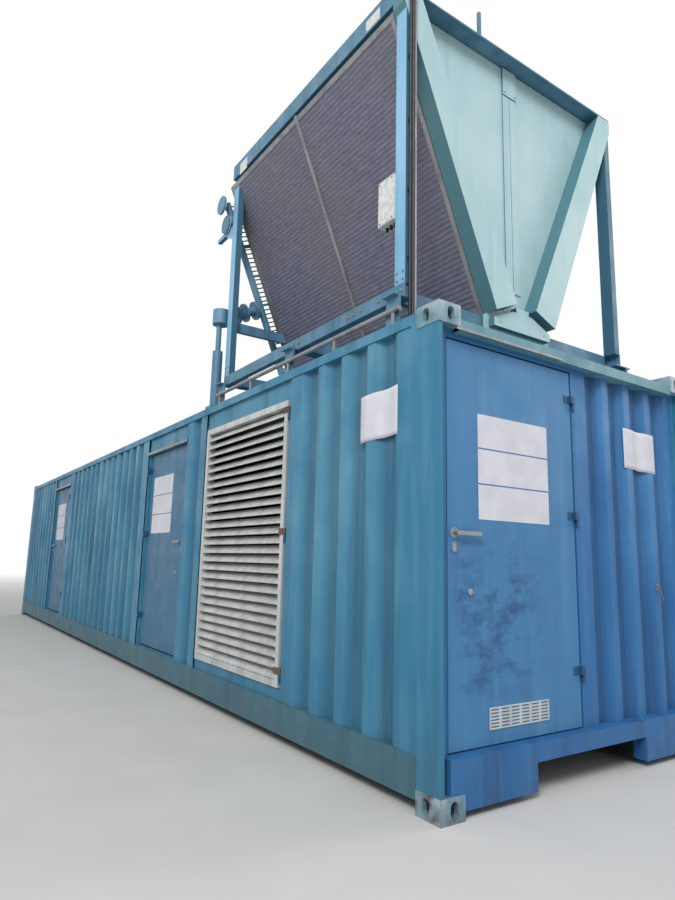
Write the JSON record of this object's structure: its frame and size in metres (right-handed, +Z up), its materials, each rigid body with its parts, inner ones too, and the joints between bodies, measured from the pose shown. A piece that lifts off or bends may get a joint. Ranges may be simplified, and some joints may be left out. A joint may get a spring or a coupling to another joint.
{
  "type": "containerised gas generator set",
  "caption": "Long hollow steel container with hinged doors, a louvre door and a V-shaped dry cooler with fans on its roof.",
  "frame": {"origin": "middle of the container's footprint, level with the underside of the bottom castings", "axes": "+X towards the end wall with the door, -Y out of the long side with the louvre, +Z up"},
  "size_m": [12.192, 2.438, 5.0995],
  "materials": {
    "container_paint": "faded blue-green paint, chalked and scuffed",
    "casting_paint": "painted castings with rust and dirt",
    "wall_lining": "mineral wool panels faced with pale cloth",
    "floor_board": "dark plywood boards",
    "weathered_aluminium": "mill finish, weathered dull",
    "galvanised_steel": "dull zinc coating",
    "cooler_paint": "weathered pale blue-green paint",
    "coil_fins": "brown-grey finned surface",
    "white_coating": "white powder coating",
    "dark_paint": "dark grey enamel"
  },
  "bodies": {
    "container": {"back_wall_lining": "wall_lining", "back_wall_sheet": "container_paint", "bottom_castings": "casting_paint", "bottom_side_rails": "container_paint", "coil_back_side": "coil_fins", "coil_front_side": "coil_fins", "coil_headers": "cooler_paint", "coil_mid_strips": "galvanised_steel", "coil_tube_sheets": "galvanised_steel", "cooler_cross_rails": "cooler_paint", "cooler_edge_channels": "cooler_paint", "cooler_end_panels": "cooler_paint", "cooler_feet": "cooler_paint", "cooler_keel": "cooler_paint", "cooler_legs": "cooler_paint", "cooler_posts": "cooler_paint", "cooler_side_rails": "cooler_paint", "corner_posts": "container_paint", "door_heads": "container_paint", "door_jambs": "container_paint", "end_headers": "container_paint", "end_sill_beams": "container_paint", "end_sill_feet": "container_paint", "end_wall_linings": "wall_lining", "end_wall_sheets": "container_paint", "fan_deck": "cooler_paint", "fan_guards": "dark_paint", "fan_rotors": "dark_paint", "fan_shrouds": "cooler_paint", "floor_cross_members": "dark_paint", "floor_deck": "floor_board", "frame_hinges": "galvanised_steel", "front_wall_lining": "wall_lining", "front_wall_sheets": "container_paint", "gooseneck_tunnel": "dark_paint", "junction_box": "white_coating", "lintel_lining": "wall_lining", "lintel_plates": "container_paint", "louvre_surround": "container_paint", "post_cables": "dark_paint", "rain_gutters": "container_paint", "roof_conduit": "galvanised_steel", "roof_lining": "wall_lining", "roof_sheet": "container_paint", "top_castings": "casting_paint", "top_side_rails": "container_paint", "water_pipes": "cooler_paint"},
    "end_door": {"end_door_leaf": "container_paint", "end_door_fittings": "galvanised_steel", "end_door_vent": "weathered_aluminium"},
    "near_side_door": {"near_door_leaf": "container_paint", "near_door_fittings": "galvanised_steel"},
    "far_side_door": {"far_door_leaf": "container_paint", "far_door_fittings": "galvanised_steel"},
    "louvre_door": {"louvre_frame": "weathered_aluminium", "louvre_blades": "weathered_aluminium", "louvre_hinges": "galvanised_steel"},
    "end_lever": {"end_door_lever": "galvanised_steel"},
    "near_side_lever": {"near_door_lever": "galvanised_steel"},
    "far_side_lever": {"far_door_lever": "galvanised_steel"}
  },
  "joints": [
    {"name": "end_door_swing", "type": "hinge", "parent": "container", "child": "end_door", "pos_m": [6.0495, -0.035, 1.348], "axis": [0, 0, 1], "range_deg": [0, 110]},
    {"name": "near_door_swing", "type": "hinge", "parent": "container", "child": "near_side_door", "pos_m": [1.361, -1.2055, 1.305], "axis": [0, 0, -1], "range_deg": [0, 110]},
    {"name": "far_door_swing", "type": "hinge", "parent": "container", "child": "far_side_door", "pos_m": [-2.63, -1.2055, 1.305], "axis": [0, 0, 1], "range_deg": [0, 110]},
    {"name": "louvre_swing", "type": "hinge", "parent": "container", "child": "louvre_door", "pos_m": [4.514, -1.2055, 1.3525], "axis": [0, 0, 1], "range_deg": [0, 100]},
    {"name": "end_lever_press", "type": "hinge", "parent": "end_door", "child": "end_lever", "pos_m": [6.036, -1.065, 1.364], "axis": [-1, 0, 0], "range_deg": [0, 45], "stiffness_Nm_per_rad": 5, "springref_deg": -28.65},
    {"name": "near_lever_press", "type": "hinge", "parent": "near_side_door", "child": "near_side_lever", "pos_m": [2.44, -1.169, 1.358], "axis": [0, -1, 0], "range_deg": [0, 45], "stiffness_Nm_per_rad": 5, "springref_deg": -28.65},
    {"name": "far_lever_press", "type": "hinge", "parent": "far_side_door", "child": "far_side_lever", "pos_m": [-3.709, -1.169, 1.358], "axis": [0, 1, 0], "range_deg": [0, 45], "stiffness_Nm_per_rad": 5, "springref_deg": -28.65}
  ]
}
